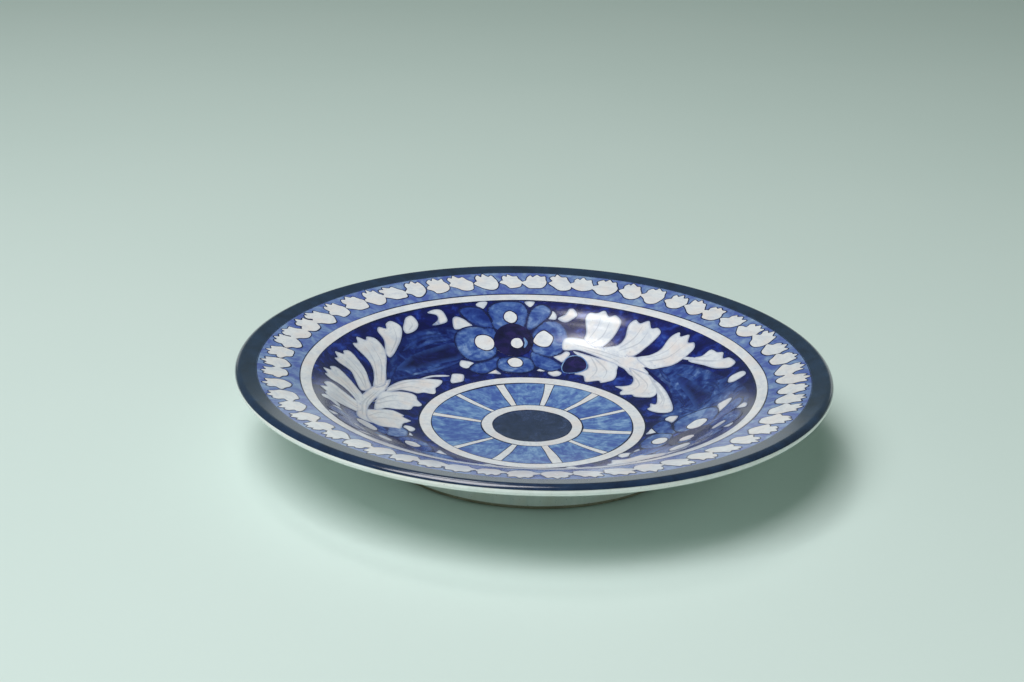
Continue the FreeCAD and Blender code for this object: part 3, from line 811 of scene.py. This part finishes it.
# Loose white pieces beside a flower, and the dark lobe under its trailing petal.
CHIPS = [
    [(10.0, .74), (8.4, .752), (6.4, .748), (8.0, .719), (9.2, .723)],
    [(-4.7, .748), (-7.7, .75), (-6.4, .724)],
    [(18.8, .69), (16.6, .692), (13.1, .657), (17.6, .649), (19.6, .655)],
    [(-12.3, .682), (-13.2, .711), (-14.7, .698), (-14.7, .68)],
    [(-15.4, .684), (-17.6, .704), (-18.3, .727), (-19.8, .729), (-21.2, .706), (-20.0, .686),
     (-17.9, .673)],
    [(-16.1, .528), (-18.8, .539), (-20.8, .558), (-22.6, .548), (-21.0, .504), (-19.4, .506)],
    [(24.9, .494), (22.8, .519), (18.4, .499), (20.1, .484), (23.0, .475)],
    [(14.4, .43), (11.0, .459), (9.4, .441), (8.0, .416), (11.0, .42)],
    [(-15.7, .43), (-18.8, .449), (-22.2, .44), (-21.8, .418), (-18.8, .409)],
    [(-10.3, .44), (-12.8, .455), (-15.7, .453), (-13.5, .436)],
]
DARK_LOBE = [(-21.3, .474), (-22.1, .526), (-25.8, .545), (-30.0, .527), (-32.2, .49), (-29.8, .458),
             (-23.9, .442)]
# Millimetres that the flowers and sprays have drifted from the middle in the painting.
DRIFT = np.array([-1.3, 0.8])
SPRAY_DRIFT = np.array([0.0, 0.8])
FLOWER_RIM = 0.8        # width of the dark lines round chips and leaves
DOT_RING = 0.5          # how far the dark ring of a dot stands out from it
DOT_WOBBLE = 0.08


def drawn(knots, turn=0.0, closed=True, drift=DRIFT):
    """A flowing line through places of the well pattern."""
    return flowing([place(angle + turn, distance) + drift for angle, distance in knots], closed)


def round_shape(angle, shape, grown, seed, wobble=0.05):
    """A dot or heart: an oval a given turn from the flower's line, grown by millimetres."""
    turn, distance, out, across = shape
    return oval(place(angle + turn, distance) + DRIFT, out * PATTERN + grown, across * PATTERN + grown,
                wobble, seed)


GLINT = [(-4.3, .604), (-5.2, .583), (-4.4, .56)]   # the light curve beside a heart's dot


def make_flowers():
    """Three flowers: blue petals with white dots round a dark heart, all outlined in dark blue."""
    rims = Paint("flower_edge", OUTLINE_BLUE, RIM_LIFT)
    petals = Paint("flower_petal_paint", PETAL_BLUE, PETAL_LIFT)
    petal_lines = Paint("flower_petal_line", OUTLINE_BLUE, PETAL_LIFT + OVERLAP / 2)
    hearts = Paint("flower_heart_paint", DEEP_BLUE, CORE_LIFT)
    dots = Paint("flower_dot_paint", WHITE_PAINT, DOT_LIFT)
    glints = Paint("flower_glint_paint", PANEL_BLUE, DOT_LIFT)
    chips = Paint("flower_chip_paint", LEAF_WHITE, CHIP_LIFT)
    for number, angle in enumerate(FLOWER_ANGLES):
        chance = random.Random(50 + number)
        if number == 0:
            lobe = drawn(DARK_LOBE, angle)
            hearts.fill(lobe, tone=0.4)
            glints.stroke(lobe, 0.45, closed=True, tone=0.3)
        for knots in CHIPS:
            outline = drawn(knots, angle)
            rims.stroke(outline, FLOWER_RIM, closed=True)
            chips.fill(outline, tone=chance.random())
        for knots in PETALS_BETWEEN + PETALS:
            outline = drawn(knots, angle)
            petals.fill(outline, tone=chance.uniform(0.2, 0.9))
            petal_lines.stroke(outline, chance.uniform(0.7, 1.0), closed=True)
        for index, shape in enumerate(PETAL_DOTS):
            seed = 100 * number + 20 + index
            hearts.fill(round_shape(angle, shape, DOT_RING, seed, DOT_WOBBLE))
            dots.fill(round_shape(angle, shape, 0.0, seed, DOT_WOBBLE), tone=chance.random())
        hearts.fill(round_shape(angle, HEART, 0.0, 100 * number + 30, 0.03), tone=0.3)
        dots.fill(round_shape(angle, HEART_DOT, 0.0, 100 * number + 31), tone=0.5)
        glints.stroke(drawn(GLINT, angle, closed=False), tapered(1.3))
    rims.finish("cobalt_glaze")
    petals.finish("blue_wash", "flower_petals")
    petal_lines.finish("cobalt_glaze")
    hearts.finish("cobalt_glaze", "flower_centres")
    dots.finish("white_paint")
    glints.finish("blue_wash")
    chips.finish("white_paint")


# A spray is its leaves' edges, its stem's edge, the veins on both, a bud with a dark core and lighter
# strokes, and the thin tails between leaves.  A leaf's edge starts at its foot.
SPRAY_RIGHT = {
    "leaves": [
        [(66, .59), (62.8, .64), (62.3, .70), (65, .726), (67, .716), (69, .738), (71, .722),
         (73.2, .719), (74, .695), (72.5, .645), (72, .61)],
        [(53, .585), (49.3, .645), (48, .698), (50, .717), (52, .709), (54.3, .735), (56.4, .716),
         (58.5, .725), (59.6, .698), (58.7, .65), (60, .618), (65, .592)],
        [(42, .57), (38, .592), (34.5, .625), (33, .69), (35, .716), (37, .708), (39, .735), (41, .716),
         (42.6, .729), (44, .70), (44, .652), (46, .62), (50, .59)],
        [(31, .656), (24, .67), (18.2, .686), (14.4, .716), (15.2, .742), (19.0, .74), (20.5, .724),
         (23, .74), (24.8, .728), (27.6, .723), (28, .69)],
        [(57, .545), (53, .51), (50.5, .468), (52, .442), (54.5, .424), (56.5, .432), (61.5, .405),
         (64, .425), (65.6, .44), (70, .441), (67.6, .46), (65.8, .485), (67.2, .512), (72, .54),
         (74, .56)],
        [(49, .545), (40, .547), (32.5, .53), (27, .502), (25, .475), (27, .452), (31, .428),
         (34, .428), (37.5, .402), (40, .411), (41, .428), (46, .431), (43, .45), (41.2, .472),
         (43, .50), (48, .53)],
        [(36, .536), (31, .534), (23, .522), (13, .507), (7.6, .496), (7.2, .474), (9.5, .448),
         (12, .432), (15.6, .423), (17, .436), (20, .447), (18, .458), (19.5, .47), (24, .488),
         (30, .512)],
        [(7.1, .688), (5.4, .706), (6.2, .744), (8.8, .742), (9.4, .702)],
    ],
    "stem": [(79, .612), (72, .618), (66, .60), (60, .597), (52, .594), (44, .60), (40, .588),
             (44, .566), (40, .548), (45, .512), (51, .53), (57, .538), (66, .555), (73, .568),
             (79, .562)],
    "veins": [
        [(70, .60), (66.5, .64), (66, .70)], [(71, .62), (69.3, .67), (69.4, .715)],
        [(58, .60), (53, .645), (52.2, .695)], [(58.5, .61), (55.5, .66), (55, .71)],
        [(46, .59), (39.5, .632), (37, .695)], [(47, .60), (41.7, .65), (40.7, .705)],
        [(30, .665), (24, .688), (19.6, .715)], [(30, .672), (26.5, .697), (25.5, .718)],
        [(66, .548), (57.5, .50), (55.5, .45)], [(67, .545), (61.5, .49), (61.3, .43)],
        [(50, .545), (35.5, .508), (30.5, .455)], [(50, .535), (38, .49), (37.3, .425)],
        [(40, .545), (22, .503), (13, .47)], [(38, .538), (20, .492), (14.5, .44)],
        [(72, .578), (60, .562), (53, .545)], [(76, .592), (64, .58), (54, .574)],
    ],
    "bud": [(44, .572), (38, .602), (31, .64), (22, .664), (13, .682), (5, .712), (-4, .735),
            (-12, .74), (-14, .70), (-6, .66), (-3, .60), (-4, .52), (-4, .455), (2, .44), (7, .465),
            (14, .512), (28, .545)],
    "core": [(29, .592), (24, .606), (13, .621), (7, .634), (3, .598), (1, .574), (13, .566),
             (22, .57)],
    "strokes": [[(18, .632), (14, .654), (9.5, .664)], [(15, .628), (11, .65), (5, .655)],
                [(29.5, .598), (24.5, .62), (20, .622)], [(9, .512), (4, .536), (0, .566)],
                [(38, .585), (34, .572), (28, .56)], [(26, .552), (16, .542), (8, .54)]],
    "tails": [[(40, .64), (34, .655), (29, .672)]],
    "bud_tone": 0.6,
}
SPRAY_LEFT = {
    "leaves": [
        [(188, .59), (184.8, .645), (184.2, .70), (187, .721), (188.8, .712), (190.8, .735),
         (192.6, .718), (194.6, .723), (197, .70), (196, .65), (194.5, .61)],
        [(180, .59), (175.5, .625), (173.3, .665), (173, .70), (175, .717), (176.5, .71), (177.8, .733),
         (179.6, .717), (181, .722), (182.2, .70), (181.6, .66), (183.5, .625), (188, .60)],
        [(171, .58), (166.5, .602), (162.2, .64), (160.5, .70), (162.5, .717), (164, .71),
         (165.6, .733), (167.5, .715), (169, .72), (169.7, .698), (169.2, .66), (171.7, .636),
         (176, .604)],
        [(163, .553), (155, .59), (149, .63), (147, .658), (147.2, .696), (149.4, .715), (151, .708),
         (152.7, .731), (154.6, .713), (156.4, .719), (157.2, .695), (157.2, .652), (159.3, .62),
         (163.5, .595), (169, .576)],
        [(147.5, .622), (141.5, .645), (137.5, .672), (135.4, .705), (137, .737), (139.4, .733),
         (140.6, .716), (142.5, .731), (144.2, .717), (144.8, .68), (148, .642)],
        [(135, .676), (131, .68), (129, .702), (129.4, .735), (131.6, .734), (133.6, .714),
         (135.2, .694)],
        [(124, .734), (121.5, .743), (119.4, .736), (118.8, .705), (119.6, .684), (124.6, .682),
         (122.0, .698), (121.7, .718)],
        [(190, .58), (186, .55), (183, .52), (181, .488), (182.2, .46), (183.4, .447), (185.2, .45),
         (188, .425), (190, .434), (193, .456), (198.8, .473), (199.4, .50), (201, .555), (198, .585)],
        [(171, .55), (165, .52), (161, .49), (159.4, .463), (160.2, .443), (163, .43), (166.5, .405),
         (169.3, .407), (171, .425), (175.2, .431), (177, .452), (179, .48), (181, .512), (186, .55)],
        [(163, .54), (155, .53), (148, .506), (143, .485), (138.2, .455), (139.3, .44), (143, .43),
         (146, .427), (149, .41), (151.4, .406), (153, .422), (154.2, .437), (157.2, .45),
         (158.4, .472), (161, .502), (167, .532)],
        [(125.4, .45), (127, .46), (130, .466), (132.2, .45), (134.2, .436), (135.2, .42), (133, .414),
         (129, .412), (127, .425), (125.6, .44)],
    ],
    "stem": [(200, .625), (192, .614), (185, .612), (178, .596), (171, .585), (165, .572), (158, .556),
             (165, .54), (171, .543), (178, .555), (186, .57), (193, .575), (200, .57)],
    "veins": [
        [(191, .60), (188, .65), (187.4, .70)], [(192, .61), (191.3, .66), (191, .712)],
        [(183, .602), (177.6, .645), (176.4, .70)], [(184.5, .60), (179.3, .655), (178.4, .712)],
        [(173, .592), (166, .632), (164, .70)], [(174, .59), (168, .64), (166.2, .712)],
        [(163, .57), (153, .625), (150.4, .695)], [(166, .572), (155.5, .637), (153.2, .71)],
        [(146, .636), (140, .67), (138, .712)], [(133.6, .685), (131.4, .698), (131, .718)],
        [(195, .58), (187, .53), (185, .47)], [(196, .57), (191, .52), (189, .45)],
        [(180, .558), (168, .51), (164, .45)], [(181, .55), (171.5, .495), (169, .43)],
        [(166, .545), (152, .508), (143, .45)], [(168, .54), (155, .49), (150.2, .43)],
        [(196, .60), (184, .588), (172, .566)], [(196, .588), (182, .575), (168, .556)],
    ],
    "bud": [(117, .655), (127, .674), (137, .668), (145, .635), (155, .586), (161, .556), (158, .542),
            (147, .512), (135, .492), (121, .50), (117, .56)],
    "core": [(119, .60), (126, .606), (138, .60), (147, .584), (150, .57), (143, .545), (130, .532),
             (119, .54)],
    "strokes": [[(121, .64), (131, .648), (141, .625)], [(122, .522), (134, .512), (147, .53)],
                [(124, .655), (130, .662), (136, .654)], [(148, .592), (154, .572), (158, .557)],
                [(146, .52), (152, .536), (157, .55)], [(120, .622), (128, .628), (136, .618)]],
    "tails": [[(149, .50), (140, .488), (132, .462)]],
    "bud_tone": 0.1,
}


def make_sprays():
    """Sprays of notched leaves that fill the well from each flower to the dark bud before the next."""
    rims = Paint("spray_edge", OUTLINE_BLUE, RIM_LIFT)
    leaves = Paint("spray_leaf_paint", LEAF_WHITE, LEAF_LIFT)
    veins = Paint("spray_vein_paint", VEIN_GREY, CORE_LIFT)
    buds = Paint("spray_bud_paint", BUD_BLUE, BUD_LIFT)
    cores = Paint("spray_core_paint", CORE_BLUE, CHIP_LIFT)
    touches = Paint("spray_stroke_paint", PETAL_BLUE, CORE_LIFT)
    hidden_turn = FLOWER_ANGLES[2] - FLOWER_ANGLES[1]
    sprays = [(SPRAY_RIGHT, 0), (SPRAY_LEFT, 0), (SPRAY_LEFT, hidden_turn)]
    for number, (spray, turn) in enumerate(sprays):
        chance = random.Random(70 + number)

        def path(knots, closed=True, turn=turn):
            return drawn(knots, turn, closed, SPRAY_DRIFT)

        buds.fill(path(spray["bud"]), tone=spray["bud_tone"])
        cores.fill(path(spray["core"]), tone=chance.random())
        for knots in spray["strokes"]:
            touches.stroke(path(knots, closed=False), tapered(chance.uniform(1.2, 2.2)),
                           tone=chance.uniform(-0.1, 0.4))
        for knots in spray["tails"]:
            leaves.stroke(path(knots, closed=False), tapered(1.3, 0.15, 0.8), tone=chance.random())
        for knots in [spray["stem"]] + spray["leaves"]:
            outline = path(knots)
            rims.stroke(outline, FLOWER_RIM, closed=True)
            leaves.fill(outline, tone=chance.random())
        for knots in spray["veins"]:
            veins.stroke(path(knots, closed=False), tapered(chance.uniform(0.4, 0.8), 0.1, 0.3))
    rims.finish("cobalt_glaze")
    leaves.finish("white_paint")
    veins.finish("white_paint")
    buds.finish("cobalt_glaze")
    cores.finish("cobalt_glaze")
    touches.finish("blue_wash")


# ---- Floor, light and camera ----

FLOOR_REACH = 4.0       # metres from the middle
FLOOR_CELLS = 8
# Each light's direction from the plate, distance and size in metres, watts, and tint.
LIGHTS = {
    "key_light": ((-0.20, 0.22, 0.95), 1.4, (0.2, 0.3), 1.7, (1.0, 0.99, 0.97)),
    "fill_light": ((-0.30, -0.36, 0.88), 1.7, (1.05, 1.05), 25.3, (0.995, 0.98, 1.0)),
    "far_card": ((0.05, 0.98, 0.13), 3.0, (4.0, 0.7), 4.5, (0.96, 1.0, 1.0)),
}
ROOM_COLOUR = "b8d4c4"
ROOM_STRENGTH = 0.24


def make_floor():
    """A wide, plain, pale green floor."""
    ticks = np.linspace(-FLOOR_REACH, FLOOR_REACH, FLOOR_CELLS + 1)
    points = [(x, y, 0) for y in ticks for x in ticks]
    across = len(ticks)
    faces = [(start, start + 1, start + across + 1, start + across)
             for row in range(FLOOR_CELLS) for start in range(row * across, (row + 1) * across - 1)]
    mesh = bpy.data.meshes.new("floor")
    mesh.from_pydata(points, [], faces)
    nodes = Nodes("floor_paint")
    cloudy = nodes.noise(nodes.place(), 3.0, 3.0)
    paint = nodes.mix(cloudy, colour("cfe0da"), colour("d6e4df"))
    mesh.materials.append(nodes.surface(paint, 0.7, nodes.noise(nodes.place(), 300.0), coat=0.0,
                                        bump_size=0.0001, specular=0.3))
    floor = bpy.data.objects.new("floor", mesh)
    bpy.context.scene.collection.objects.link(floor)


def area_light(name, direction, distance, size, watts, tint):
    """A soft panel facing the middle of the plate."""
    light = bpy.data.lights.new(name, "AREA")
    light.shape = "RECTANGLE"
    light.size, light.size_y = size
    light.energy = watts
    light.color = tint
    lamp = bpy.data.objects.new(name, light)
    away = Vector(direction).normalized()
    lamp.location = away * distance
    lamp.rotation_euler = away.to_track_quat("Z", "Y").to_euler()
    lamp.visible_camera = False
    bpy.context.scene.collection.objects.link(lamp)


def make_lights():
    """A small panel above and a little behind, a broad fill, a low far card, and a pale room."""
    for name, settings in LIGHTS.items():
        area_light(name, *settings)
    world = bpy.data.worlds.new("room")
    bpy.context.scene.world = world
    world.use_nodes = True
    background = world.node_tree.nodes["Background"]
    background.inputs["Color"].default_value = colour(ROOM_COLOUR)
    background.inputs["Strength"].default_value = ROOM_STRENGTH


CAMERA_DISTANCE = 5.98545       # in pattern radii, from the middle of the lip's circle
CAMERA_RISE = 21.5513           # degrees above the horizontal
CAMERA_PAN = -0.7529
CAMERA_TILT = 0.7110
CAMERA_ROLL = 1.89387
CAMERA_LENS = 61.07


def make_camera():
    """The camera at the photograph's angle, aimed just off the middle of the lip's circle."""
    rise, pan, tilt, roll = map(math.radians, (CAMERA_RISE, CAMERA_PAN, CAMERA_TILT, CAMERA_ROLL))
    away = Vector((0, -math.cos(rise), math.sin(rise)))
    place_seen = Vector((0, 0, LIP_Z * MM))
    forward, right = -away, Vector((1, 0, 0))
    up = right.cross(forward)
    ahead = (forward * math.cos(pan) + right * math.sin(pan)) * math.cos(tilt) + up * math.sin(tilt)
    level = ahead.cross(up).normalized()
    upright = level.cross(ahead)
    right_now = level * math.cos(roll) + upright * math.sin(roll)
    up_now = upright * math.cos(roll) - level * math.sin(roll)
    data = bpy.data.cameras.new("camera")
    data.lens = CAMERA_LENS
    data.sensor_width = 36.0
    camera = bpy.data.objects.new("camera", data)
    turn = Matrix((right_now, up_now, -ahead)).transposed()
    eye = place_seen + away * CAMERA_DISTANCE * PATTERN * MM
    camera.matrix_world = Matrix.Translation(eye) @ turn.to_4x4()
    bpy.context.scene.collection.objects.link(camera)
    bpy.context.scene.camera = camera


# ---- The whole ----

bpy.context.scene.view_settings.view_transform = "Standard"
make_bands()
make_white_lines()
make_lip()
make_underside()
make_spokes()
make_border_leaves()
make_flowers()
make_sprays()
clay = bpy.data.objects["clay_body"].data
clay.materials.clear()
clay.materials.append(BARE_CLAY)
make_floor()
make_lights()
make_camera()
